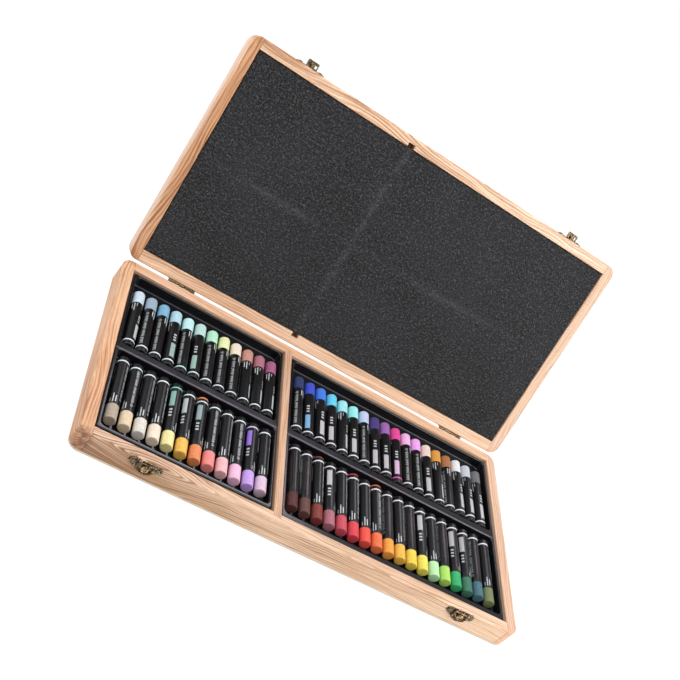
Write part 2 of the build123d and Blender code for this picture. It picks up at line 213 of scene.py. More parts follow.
# ---------------------------------------------------------------- wood
def wood(name, grain, closed=False, light=(226, 188, 152), light2=None, dark=(178, 128, 88), dark2=None, warm=(214, 160, 112),
         tilt=0.8, lean=0.0, flow=(), spacing=1.9, contrast=0.75, contrast2=None, warmth=0.35, seed=0.0, end=None, stains_and_shade=(), painted_lit_outside=None, gain=(1, 1, 1)):
    """Solid sawn wood. grain is the axis it runs along. Growth layers lie level, tilted across the board
    by tilt and along it by lean, and dip where flow says: (place along, depth in mm, half length). light2,
    dark2 and contrast2 hold at the far end of the board; a paler light2 and dark2 are painted light; end is the colour
    of the bare end grain; stains are darker heartwood, deepened with painted shade where given: (along, height, half
    length, half height, colour, amount); outside is a paler colour painted on the board's outer face as painted light."""
    def col(c, k=1.0):
        return tuple(min(1.0, v * g * k) for v, g in zip(lin(*c), gain))

    t = Tree(name, 0.5, 0.35)
    p = t.place(closed)
    x, y, z = t.xyz(p)
    if grain == "x":
        along, across, span = x, y, (-200, 200)
    else:
        along, across, span = y, x, (-104, 104)
    s = seed * 37.0
    far = t.step(along, *span)
    slow = t.noise(t.vec(t.m("MULTIPLY", along, 0.009), t.m("MULTIPLY", across, 0.03), t.m("MULTIPLY", t.m("ADD", z, s), 0.03)), 1.0, 2.0)
    mid = t.noise(t.vec(t.m("MULTIPLY", along, 0.028), t.m("MULTIPLY", across, 0.11), t.m("MULTIPLY", t.m("ADD", z, s), 0.11)), 1.0, 2.0)
    d = t.m("ADD", z, t.m("MULTIPLY", across, tilt))
    d = t.m("ADD", d, t.m("MULTIPLY", along, lean))
    for at, depth, half in flow:
        q = t.m("DIVIDE", t.m("SUBTRACT", along, at), half)
        d = t.m("ADD", d, t.m("MULTIPLY", t.m("POWER", 2.718, t.m("MULTIPLY", t.m("MULTIPLY", q, q), -1.0)), depth))
    d = t.m("ADD", d, t.m("MULTIPLY", t.m("SUBTRACT", slow, 0.5), 13.0))
    d = t.m("ADD", d, t.m("MULTIPLY", t.m("SUBTRACT", mid, 0.5), 4.0))
    phase = t.m("FRACT", t.m("DIVIDE", t.m("ADD", d, s + 400.0), spacing))
    ring = t.ramp(phase, [(0.0, 0.0), (0.26, 0.1), (0.52, 0.42), (0.72, 1.0), (0.9, 0.9), (1.0, 0.0)], "EASE")
    broad = t.noise(t.vec(t.m("MULTIPLY", along, 0.008), t.m("MULTIPLY", d, 0.16), t.m("ADD", t.m("MULTIPLY", across, 0.03), s)), 1.0, 2.0, 0.55)
    streak = t.noise(t.vec(t.m("MULTIPLY", along, 0.014), t.m("MULTIPLY", d, 0.55), t.m("ADD", t.m("MULTIPLY", across, 0.06), s + 3)), 1.0, 3.0, 0.62)
    fibre = t.noise(t.vec(t.m("MULTIPLY", along, 0.03), t.m("MULTIPLY", d, 1.9), t.m("MULTIPLY", t.m("ADD", across, s), 0.5)), 1.0, 4.0, 0.65)
    hair = t.noise(t.vec(t.m("MULTIPLY", along, 0.16), t.m("MULTIPLY", across, 6.5), t.m("MULTIPLY", t.m("ADD", z, s), 6.5)), 1.0, 2.0, 0.6)
    pore = t.step(t.noise(t.vec(t.m("MULTIPLY", along, 0.22), t.m("MULTIPLY", across, 3.6), t.m("MULTIPLY", t.m("ADD", z, s + 5), 3.6)), 1.0, 1.0, 0.5), 0.63, 0.71)
    # rings fade in and out along the board
    ring = t.m("MULTIPLY", ring, t.m("ADD", 0.3, t.m("MULTIPLY", t.step(broad, 0.36, 0.62), 0.7)))
    strength = contrast if contrast2 is None else t.m("ADD", contrast, t.m("MULTIPLY", far, contrast2 - contrast))
    l2, d2 = light2 or light, dark2 or dark
    # painted light: where light2 and dark2 are paler, the board is painted brighter towards its right-hand end,
    # strongest on the front rails
    pale = col(light) if light2 is None else t.mix(far, col(light), col(l2))
    deep = col(dark) if dark2 is None else t.mix(far, col(dark), col(d2))
    base = t.mix(t.m("MULTIPLY", t.step(slow, 0.32, 0.68), warmth, clamp=True), pale, col(warm))
    amount = t.m("ADD", t.m("MULTIPLY", ring, 0.85), t.m("MULTIPLY", t.step(streak, 0.46, 0.64), 0.6), clamp=True)
    c = t.mix(t.m("MULTIPLY", amount, strength, clamp=True), base, deep)
    c = t.mix(t.m("MULTIPLY", t.step(broad, 0.5, 0.72), 0.3), c, deep)
    c = t.mix(t.m("MULTIPLY", t.step(streak, 0.42, 0.28), 0.42), c, col([min(255, v * 1.06) for v in l2]))
    c = t.mix(t.m("MULTIPLY", t.step(fibre, 0.5, 0.74), 0.4), c, deep)
    c = t.mix(t.m("MULTIPLY", t.m("SUBTRACT", hair, 0.5), 0.5, clamp=True), c, col([v * 0.8 for v in dark]))
    c = t.mix(t.m("MULTIPLY", pore, 0.3), c, col([v * 0.7 for v in dark]))
    if end is not None:
        worn = t.noise(p, 0.22, 3.0, 0.65)
        tip = t.m("MULTIPLY", t.step(t.m("ABSOLUTE", along), span[1] - 7.0, span[1] - 0.6), t.step(worn, 0.25, 0.62))
        c = t.mix(t.m("MULTIPLY", tip, 0.85), c, col(end))
    # painted light: the board's outer face is painted paler, as if more light falls on it
    if painted_lit_outside is not None:
        lit_face_mask = t.step(t.m("ADD", t.m("ABSOLUTE", across), t.m("MULTIPLY", t.m("SUBTRACT", mid, 0.5), 3.0)), 197.6, 199.4)
        c = t.mix(t.m("MULTIPLY", lit_face_mask, 0.75), c, t.mix(t.m("MULTIPLY", amount, 0.35), col(painted_lit_outside), deep))
    # stains: darker heartwood, deepened at the front rail's left end as painted shade
    for at, height, hl, hh, tone, k in stains_and_shade:
        q = t.m("ADD", t.m("POWER", t.m("DIVIDE", t.m("SUBTRACT", along, at), hl), 2.0), t.m("POWER", t.m("DIVIDE", t.m("SUBTRACT", z, height), hh), 2.0))
        q = t.m("ADD", q, t.m("MULTIPLY", t.m("SUBTRACT", mid, 0.5), 1.2))
        c = t.mix(t.m("MULTIPLY", t.step(q, 1.3, 0.0), k), c, t.mix(t.m("MULTIPLY", amount, 0.8, clamp=True), col(tone), col([v * 0.72 for v in tone])))
    t.colour(c)
    t.rough(t.m("ADD", 0.44, t.m("MULTIPLY", fibre, 0.16)))
    t.bump(t.m("SUBTRACT", t.m("ADD", t.m("MULTIPLY", fibre, 0.6), t.m("MULTIPLY", hair, 0.5)), t.m("ADD", t.m("MULTIPLY", pore, 0.5), t.m("MULTIPLY", ring, 0.25))), 0.35, 0.00012)
    return t.mat


def plywood(name, closed, z0):
    """Three-ply sheet, outer veneers along the long side; z0 is its lower face in mm."""
    t = Tree(name, 0.6, 0.25)
    p = t.place(closed)
    x, y, z = t.xyz(p)
    h = t.m("SUBTRACT", z, z0)
    fibre = t.noise(t.vec(t.m("MULTIPLY", x, 0.02), t.m("MULTIPLY", y, 0.7), t.m("MULTIPLY", z, 0.7)), 1.0, 4.0, 0.65)
    flame = t.noise(t.vec(t.m("MULTIPLY", x, 0.006), t.m("MULTIPLY", y, 0.035), 3.0), 1.0, 2.0)
    curl = t.m("FRACT", t.m("MULTIPLY", t.m("ADD", flame, t.m("MULTIPLY", fibre, 0.03)), 16.0))
    curl = t.ramp(curl, [(0.0, 0.0), (0.55, 0.3), (0.85, 1.0), (1.0, 0.0)], "EASE")
    face = t.mix(t.m("MULTIPLY", curl, 0.4), lin(222, 206, 184), lin(198, 170, 138))
    face = t.mix(t.m("MULTIPLY", t.step(fibre, 0.45, 0.75), 0.35), face, lin(180, 140, 104))
    cross = t.noise(t.vec(t.m("MULTIPLY", x, 1.1), t.m("MULTIPLY", y, 1.1), t.m("MULTIPLY", z, 0.5)), 1.0, 3.0, 0.7)
    core = t.mix(cross, lin(176, 164, 150), lin(212, 202, 188))
    ply = t.mix(t.band(h, 0.85, 1.75, 0.05), face, core)
    glue = t.m("ADD", t.band(h, 0.80, 0.90, 0.04), t.band(h, 1.70, 1.80, 0.04), clamp=True)
    ply = t.mix(t.m("MULTIPLY", glue, 0.6), ply, lin(120, 92, 70))
    t.colour(ply)
    t.rough(t.m("ADD", 0.52, t.m("MULTIPLY", fibre, 0.16)))
    t.bump(t.m("ADD", fibre, t.m("MULTIPLY", cross, 0.4)), 0.3, 0.00012)
    return t.mat


# The rails' paler light2 and dark2 are painted light, brighter towards the right-hand end, strongest on the front
# rails; the front rail's stains hold painted shade at its left end; the lid's left rail is painted paler on its outer
# face as painted light.
WOODS = {
    "base_front_rail": dict(grain="x", light=(228, 192, 162), light2=(242, 211, 182), dark=(134, 94, 66), dark2=(192, 146, 108), warm=(216, 168, 130), tilt=-1.0, flow=((-140.0, 10.0, 42.0), (40.0, -5.0, 60.0)), spacing=2.3, contrast=1.15, contrast2=0.8, warmth=0.3, seed=1, stains_and_shade=((-168.0, 4.0, 46.0, 16.0, (158, 113, 76), 0.8), (-110.0, 2.0, 70.0, 13.0, (184, 140, 98), 0.65), (-193.0, 11.0, 7.0, 9.0, (132, 84, 64), 0.7))),
    "base_back_rail": dict(grain="x", light=(232, 194, 164), light2=(238, 202, 170), dark=(184, 134, 98), dark2=(196, 150, 112), warm=(222, 176, 138), tilt=1.1, lean=0.02, spacing=2.3, contrast=0.9, warmth=0.4, seed=2),
    "base_left_rail": dict(grain="y", light=(236, 192, 154), dark=(170, 114, 76), warm=(220, 160, 112), tilt=-0.9, lean=0.012, flow=((-60.0, 4.0, 40.0),), spacing=2.7, contrast=1.0, warmth=0.6, seed=3, end=(122, 78, 60)),
    "base_right_rail": dict(grain="y", light=(232, 196, 170), dark=(186, 140, 106), warm=(222, 178, 144), tilt=0.9, spacing=2.5, contrast=0.8, warmth=0.4, seed=4, end=(214, 162, 128)),
    "divider": dict(grain="y", light=(222, 184, 154), dark=(168, 122, 88), warm=(208, 162, 124), tilt=1.1, spacing=2.2, contrast=0.9, warmth=0.4, seed=5),
    "lid_front_rail": dict(grain="x", closed=True, light=(236, 196, 160), light2=(248, 222, 196), dark=(160, 108, 70), dark2=(196, 150, 112), warm=(224, 172, 128), tilt=1.0, flow=((-90.0, 6.0, 50.0), (60.0, -5.0, 40.0)), spacing=2.5, contrast=1.2, contrast2=0.8, warmth=0.4, seed=6, gain=(1.08, 1.1, 1.14)),
    "lid_back_rail": dict(grain="x", closed=True, light=(230, 194, 164), light2=(240, 210, 182), dark=(180, 132, 96), dark2=(196, 152, 116), warm=(218, 174, 138), tilt=1.0, lean=0.015, spacing=2.4, contrast=0.9, warmth=0.35, seed=7, gain=(1.1, 1.1, 1.1)),
    "lid_left_rail": dict(grain="y", closed=True, painted_lit_outside=(244, 214, 190), light=(230, 184, 144), dark=(156, 102, 66), warm=(212, 152, 104), tilt=-0.9, lean=-0.02, flow=((20.0, 5.0, 36.0),), spacing=2.6, contrast=1.0, warmth=0.6, seed=8, end=(166, 112, 78)),
    "lid_right_rail": dict(grain="y", closed=True, light=(230, 198, 172), dark=(190, 146, 112), warm=(230, 190, 156), tilt=0.9, spacing=2.5, contrast=0.8, warmth=0.4, seed=9, end=(214, 168, 136)),
}


def dress(node, mat):
    o = nodes[node]
    o.data.materials.clear()
    o.data.materials.append(mat)


for n, kw in WOODS.items():
    dress(n, wood("wood_" + n, **kw))
dress("base_bottom_panel", plywood("plywood_base", False, 0.0))
dress("lid_panel", plywood("plywood_lid", True, LID_TOP - PANEL_T))


# ---------------------------------------------------------------- bronze
def bronze(name, low=(58, 47, 38), mid=(152, 128, 98), high=(244, 220, 180), pit=(20, 16, 14)):
    """Antique-plated brass: dark patina, rubbed brighter in patches."""
    t = Tree(name, 0.4, 0.5, 1.0)
    p = t.place()
    a = t.noise(p, 0.55, 3.0, 0.6)
    b = t.noise(p, 1.5, 3.0, 0.6)
    rub = t.step(t.m("ADD", t.m("MULTIPLY", a, 0.6), t.m("MULTIPLY", b, 0.4)), 0.42, 0.62)
    c = t.mix(rub, lin(*low), lin(*mid))
    c = t.mix(t.m("MULTIPLY", t.step(b, 0.55, 0.66), 0.75), c, lin(*high))
    c = t.mix(t.m("MULTIPLY", t.step(a, 0.45, 0.32), 0.85), c, lin(*pit))
    t.colour(c)
    t.rough(t.m("SUBTRACT", 0.44, t.m("MULTIPLY", rub, 0.2)))
    t.bump(b, 0.25, 0.0001)
    return t.mat


def screw_metal(name):
    """Brighter plated steel, worn to the yellow, darker in patches."""
    t = Tree(name, 0.32, 0.5, 1.0)
    p = t.place()
    a = t.noise(p, 0.9, 3.0, 0.6)
    b = t.noise(p, 3.2, 2.0, 0.6)
    c = t.mix(t.step(a, 0.36, 0.62), lin(50, 42, 34), lin(112, 98, 78))
    c = t.mix(t.m("MULTIPLY", t.step(b, 0.54, 0.66), 0.7), c, lin(248, 228, 190))
    t.colour(c)
    t.rough(t.m("ADD", 0.24, t.m("MULTIPLY", b, 0.2)))
    t.bump(b, 0.2, 0.0001)
    return t.mat


bronze_mat = bronze("antique_bronze")
knob_mat = bronze("rubbed_knob", (92, 70, 50), (204, 170, 122), (255, 238, 202), (44, 34, 26))
screw_mat = screw_metal("plated_screw")
for n in nodes:
    if n.startswith(("hinge_", "catch_", "hook_")):
        dress(n, screw_mat if n.endswith("_screws") else knob_mat if n.endswith("_knobs") else bronze_mat)


# ---------------------------------------------------------------- trays
def tray_plastic(name):
    """Vacuum-formed black sheet, glossy, with faint waviness and dust."""
    t = Tree(name, 0.2, 0.5)
    p = t.place()
    smudge = t.noise(p, 0.05, 3.0, 0.6)
    fine = t.noise(p, 0.9, 3.0, 0.6)
    dust = t.step(t.voronoi(p, 0.42), 0.075, 0.03)
    c = t.mix(smudge, lin(14, 14, 17), lin(26, 26, 30))
    c = t.mix(t.m("MULTIPLY", dust, 0.35), c, lin(120, 120, 126))
    # painted highlight: a paler purple-grey line along the cross ridge's front edge, broken up by noise, standing in
    # for the light the edge's rounding catches
    x, y, z = t.xyz(p)
    highlight_breakup = t.step(t.noise(t.vec(t.m("MULTIPLY", x, 0.12), t.m("MULTIPLY", y, 1.4), z), 1.0, 3.0, 0.6), 0.3, 0.62)
    edge = t.m("MULTIPLY", t.band(y, IN_F + 90.9, IN_F + 92.3, 0.25), t.step(z, 18.0, 18.9))
    c = t.mix(t.m("MULTIPLY", t.m("MULTIPLY", edge, t.m("ADD", 0.35, t.m("MULTIPLY", highlight_breakup, 0.65))), 0.8), c, lin(112, 104, 114))
    t.colour(c)
    t.rough(t.m("ADD", 0.13, t.m("ADD", t.m("MULTIPLY", smudge, 0.1), t.m("MULTIPLY", fine, 0.05))))
    t.bump(t.m("ADD", t.m("MULTIPLY", t.noise(p, 0.12, 1.0), 1.0), t.m("MULTIPLY", fine, 0.05)), 0.1, 0.0006)
    return t.mat


tray_mat = tray_plastic("tray_black_sheet")
dress("tray_left", tray_mat)
dress("tray_right", tray_mat)


# ---------------------------------------------------------------- mesh helpers
def make(name, verts, faces, mats, slots=None, smooth=True, uvs=None):
    """verts in mm."""
    me = bpy.data.meshes.new(name)
    me.from_pydata([(x * MM, y * MM, z * MM) for x, y, z in verts], [], faces)
    for m in mats:
        me.materials.append(m)
    if slots:
        me.polygons.foreach_set("material_index", slots)
    me.polygons.foreach_set("use_smooth", [smooth] * len(me.polygons))
    if uvs is not None:
        layer = me.uv_layers.new(name="layout")
        flat = []
        for face in uvs:
            for u, v in face:
                flat += [u, v]
        layer.data.foreach_set("uv", flat)
    me.update()
    me.validate()
    o = bpy.data.objects.new(name, me)
    scene.collection.objects.link(o)
    return o


def opened(v):
    a = -math.radians(OPEN_DEG)
    y, z = v[1] - HINGE[0], v[2] - HINGE[1]
    return (v[0], HINGE[0] + y * math.cos(a) - z * math.sin(a), HINGE[1] + y * math.sin(a) + z * math.cos(a))


def hash01(*k):
    return random.Random(repr(k)).random()


# ---------------------------------------------------------------- lid foam
def soft_noise(x, y, seed):
    """Smooth value noise, about -1 to 1."""
    ix, iy = math.floor(x), math.floor(y)
    fx, fy = x - ix, y - iy
    fx, fy = fx * fx * (3 - 2 * fx), fy * fy * (3 - 2 * fy)
    q = [hash01(ix + a, iy + b, seed) for a, b in ((0, 0), (1, 0), (0, 1), (1, 1))]
    return ((q[0] * (1 - fx) + q[1] * fx) * (1 - fy) + (q[2] * (1 - fx) + q[3] * fx) * fy) * 2 - 1


def gauss(d, w):
    return math.exp(-((d / w) ** 2))


CREASE_Y = 1.3          # where the trays' cross ridges press


def crease(x, y):
    """Depth in mm that the closed case has pressed into the foam."""
    d = 0.24 * gauss(x - DIV_X - 0.4 * math.sin(y * 0.02), 3.6)
    for a, b, k in ((-137, -85, 0.2), (29, 104, 0.22), (-180, 180, 0.08)):
        run = min(1.0, max(0.0, (x - a) / 18)) * min(1.0, max(0.0, (b - x) / 18))
        d += k * run * gauss(y - CREASE_Y - 0.7 * math.sin(x * 0.02), 3.8)
    return d


def foam_sheet():
    x0, x1 = -IN_X + 0.45, IN_X - 0.45
    y0, y1 = IN_F + 0.45, IN_B - 0.45
    zf, zb = LID_Z + 0.65, LID_TOP - PANEL_T - 0.05
    r = 1.1
    step = 2.0

    def ticks(a, b):
        edge = [0, 0.06, 0.2, 0.42, 0.72, 1.1]
        n = max(1, round((b - a - 2 * r) / step))
        inner = [a + r + (b - a - 2 * r) * i / n for i in range(1, n)]
        return [a + e for e in edge] + inner + [b - e for e in reversed(edge)]

    xs, ys = ticks(x0, x1), ticks(y0, y1)

    def drop(e):
        return 0.0 if e >= r else r - math.sqrt(max(0.0, r * r - (r - e) ** 2))

    verts, faces = [], []
    for y in ys:
        for x in xs:
            e = drop(min(x - x0, x1 - x)), drop(min(y - y0, y1 - y))
            d = min(2.0, math.hypot(*e))
            d += crease(x, y)
            d += 0.12 * (soft_noise(x / 38, y / 38, 1) + 1) + 0.05 * (soft_noise(x / 9, y / 9, 2) + 1)
            d += 0.035 * (hash01(round(x, 2), round(y, 2), 5))
            verts.append(opened((x, y, zf + d)))
    nx, ny = len(xs), len(ys)
    for j in range(ny - 1):
        for i in range(nx - 1):
            a = j * nx + i
            faces.append((a, a + nx, a + nx + 1, a + 1))
    ring = [i for i in range(nx)] + [j * nx + nx - 1 for j in range(1, ny)] + [(ny - 1) * nx + i for i in range(nx - 2, -1, -1)] + [j * nx for j in range(ny - 2, 0, -1)]
    back = []
    for k in ring:
        j, i = divmod(k, nx)
        back.append(len(verts))
        verts.append(opened((xs[i], ys[j], zb)))
    m = len(ring)
    for k in range(m):
        a, b = ring[k], ring[(k + 1) % m]
        faces.append((a, b, back[(k + 1) % m], back[k]))
    faces.append(tuple(back))
    return verts, faces


def foam_material():
    t = Tree("charcoal_foam", 0.95, 0.12)
    p = t.place(True)
    x, y, z = t.xyz(p)
    cell = t.voronoi(p, 0.9)
    fine = t.noise(p, 0.62, 3.0, 0.8)
    broad = t.noise(p, 0.018, 3.0, 0.6)
    speck = t.noise(p, 0.4, 2.0, 0.85)
    k = t.m("ADD", t.m("MULTIPLY", t.step(cell, 0.1, 0.75), 0.3), t.m("MULTIPLY", t.step(fine, 0.34, 0.66), 0.7))
    c = t.ramp(k, [(0.0, lin(16, 16, 17)), (0.4, lin(34, 34, 34)), (0.7, lin(53, 53, 54)), (1.0, lin(98, 98, 100))])
    c = t.mix(t.m("MULTIPLY", t.step(speck, 0.57, 0.7), 0.55), c, lin(104, 104, 107))
    c = t.mix(t.m("MULTIPLY", t.step(speck, 0.42, 0.3), 0.5), c, lin(22, 22, 23))
    c = t.mix(t.m("MULTIPLY", t.step(broad, 0.35, 0.68), 0.16), c, lin(74, 74, 77))
    # rubbed paler along the creases
    worn = t.noise(p, 0.06, 3.0, 0.7)
    wob = t.m("MULTIPLY", t.m("SUBTRACT", t.noise(p, 0.012, 2.0), 0.5), 5.0)
    across = t.m("ABSOLUTE", t.m("ADD", t.m("SUBTRACT", x, DIV_X), wob))
    down = t.m("ABSOLUTE", t.m("ADD", t.m("SUBTRACT", y, CREASE_Y), wob))
    line1 = t.m("MULTIPLY", t.m("POWER", t.step(across, 6.5, 0.0), 2.0), t.step(worn, 0.3, 0.62))
    runs = t.m("ADD", t.band(x, -137, -85, 16), t.m("ADD", t.band(x, 29, 104, 18), 0.25), clamp=True)
    line2 = t.m("MULTIPLY", t.m("MULTIPLY", t.m("POWER", t.step(down, 6.5, 0.0), 2.0), runs), t.step(worn, 0.26, 0.58))
    rub = t.m("ADD", t.m("MULTIPLY", line1, 0.2), t.m("MULTIPLY", line2, 0.2), clamp=True)
    c = t.mix(rub, c, lin(112, 112, 115))
    hole = t.step(t.voronoi(p, 0.085), 0.055, 0.03)
    c = t.mix(t.m("MULTIPLY", hole, 0.9), c, lin(12, 12, 13))
    t.colour(c)
    t.bump(t.m("SUBTRACT", t.m("ADD", t.m("MULTIPLY", cell, 0.6), t.m("MULTIPLY", fine, 0.8)), t.m("MULTIPLY", hole, 1.5)), 0.8, 0.0007)
    return t.mat


fv, ff = foam_sheet()
foam = make("lid_foam_sheet", fv, ff, [foam_material()])
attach(foam, "lid")
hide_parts("lid_foam")


# ---------------------------------------------------------------- pastels
# colour left to right, then how the wrapper is turned: degrees that its bars stand right of the side that
# faces the front left, seen with the bare tip towards the viewer
B, T, P = 0, -75, 80     # bars, ticks or patch towards the viewer
ROWS = {
    "left_back": [
        ((212, 230, 245), B + 8), ((155, 178, 198), T), ((120, 182, 214), T + 4), ((182, 222, 238), P - 38),
        ((200, 245, 246), T + 8), ((192, 226, 220), P), ((186, 244, 210), T), ((245, 248, 180), T),
        ((250, 232, 210), T - 4), ((205, 140, 125), B - 14), ((180, 106, 126), B), ((170, 86, 132), B + 4),
    ],
    "left_front": [
        ((182, 162, 142), B + 6), ((235, 206, 170), B - 36), ((230, 221, 210), B), ((250, 230, 205), B + 4),
        ((250, 234, 155), P - 4), ((250, 190, 60), P - 14), ((240, 135, 68), P), ((250, 135, 130), B - 40),
        ((250, 185, 190), B), ((250, 190, 224), B - 42), ((200, 155, 240), P - 12), ((230, 195, 222), B + 6),
    ],
    "right_back": [
        ((32, 52, 102), T + 4), ((40, 66, 205), P + 2), ((36, 120, 236), P - 34), ((85, 214, 248), P - 12),
        ((160, 242, 250), B + 12), ((150, 246, 246), P - 16), ((202, 212, 250), T + 2), ((70, 50, 125), P - 8),
        ((160, 96, 180), P - 10), ((240, 40, 152), P - 6), ((250, 182, 242), T - 6), ((250, 166, 248), T - 8),
        ((250, 222, 206), P - 12), ((232, 155, 30), B + 14), ((178, 114, 62), B - 36), ((246, 244, 248), B + 30),
        ((204, 208, 220), P - 42), ((110, 110, 116), P - 40),
    ],
    "right_front": [
        # the first colour here is darkened past the stick's own brown: painted shade where the divider shades its tip
        ((86, 34, 30), 180), ((102, 60, 50), T - 48), ((132, 46, 34), B), ((176, 100, 116), P),
        ((206, 62, 82), B + 2), ((228, 46, 62), B - 6), ((245, 66, 42), B + 2), ((246, 108, 36), B - 28),
        ((250, 160, 22), T - 44), ((250, 188, 36), B - 4), ((250, 215, 34), T - 50), ((250, 230, 60), P - 4),
        ((190, 244, 180), B + 8), ((180, 230, 82), T - 46), ((24, 176, 102), P - 14), ((52, 116, 92), P - 18),
        ((62, 110, 126), T - 40), ((120, 130, 82), B + 4),
    ],
}
SPECIAL_RING = {("left_front", 4): (128, 206, 186), ("left_front", 6): (206, 214, 212), ("right_back", 9): (226, 92, 176),
                ("left_front", 10): (214, 200, 226), ("left_back", 4): (196, 232, 228)}
SPECIAL_PATCH = {("left_front", 4): (136, 176, 164), ("left_front", 6): (150, 166, 166), ("left_front", 10): (156, 118, 214),
                 ("right_back", 1): (126, 176, 212), ("right_back", 9): (214, 176, 206), ("left_back", 3): (150, 172, 166),
                 ("left_back", 5): (152, 184, 170)}
BARE_END = {("left_front", 6): 1.8, ("right_front", 2): 1.8, ("right_front", 5): 1.3, ("right_front", 7): 1.4}
GROUPS = {
    "left_back": [("a_lavender_to_blue", 3), ("b_pale_blue", 3), ("c_green_yellow_peach", 3), ("d_rose_to_purple", 3)],
    "left_front": [("a_taupe_to_white", 3), ("b_cream_to_gold", 3), ("c_orange_to_pink", 3), ("d_rose_to_lilac", 3)],
    "right_back": [("a_blues", 4), ("b_cyans_lavender", 3), ("c_purples", 3), ("d_pinks", 3), ("e_ochre_to_grey", 5)],
    "right_front": [("a_browns", 3), ("b_reds", 4), ("c_oranges", 3), ("d_yellows_mint", 3), ("e_greens_blues", 5)],
}


def stick_material(name, rgb, seed):
    """Waxy pigment stick: near-matt, faint mottling, tiny scuffs along and across."""
    t = Tree(name, 0.5, 0.35)
    p = t.v("ADD", t.place(), (seed * 13.7, seed * 5.1, seed * 7.9))
    mott = t.noise(p, 0.45, 4.0, 0.65)
    x, y, z = t.xyz(p)
    drag = t.noise(t.vec(t.m("MULTIPLY", x, 0.7), t.m("MULTIPLY", y, 3.2), t.m("MULTIPLY", z, 0.7)), 1.0, 3.0, 0.6)
    pit = t.step(t.voronoi(p, 0.85), 0.11, 0.05)
    base = lin(*rgb)
    pale = 0.12 * sum(base) / 3            # painted sheen: paled toward white for the light the wax's surface reflects
    base = tuple((v + pale * (1 - v)) * k for v, k in zip(base, (0.84, 0.84, 0.81)))
    hi = tuple(min(1.0, v * 1.08 + 0.012) for v in base)
    lo = tuple(v * 0.84 for v in base)
    c = t.mix(t.step(mott, 0.3, 0.7), lo, hi)
    c = t.mix(t.m("MULTIPLY", t.step(drag, 0.55, 0.75), 0.35), c, tuple(min(1.0, v * 1.1 + 0.03) for v in base))
    c = t.mix(t.m("MULTIPLY", pit, 0.45), c, tuple(v * 0.55 for v in base))
    t.colour(c)
    t.rough(t.m("ADD", 0.42, t.m("MULTIPLY", mott, 0.2)))
    t.bump(t.m("SUBTRACT", t.m("ADD", t.m("MULTIPLY", mott, 0.8), t.m("MULTIPLY", drag, 0.4)), t.m("MULTIPLY", pit, 0.5)), 0.4, 0.0002)
    return t.mat


wrap_cache = {}


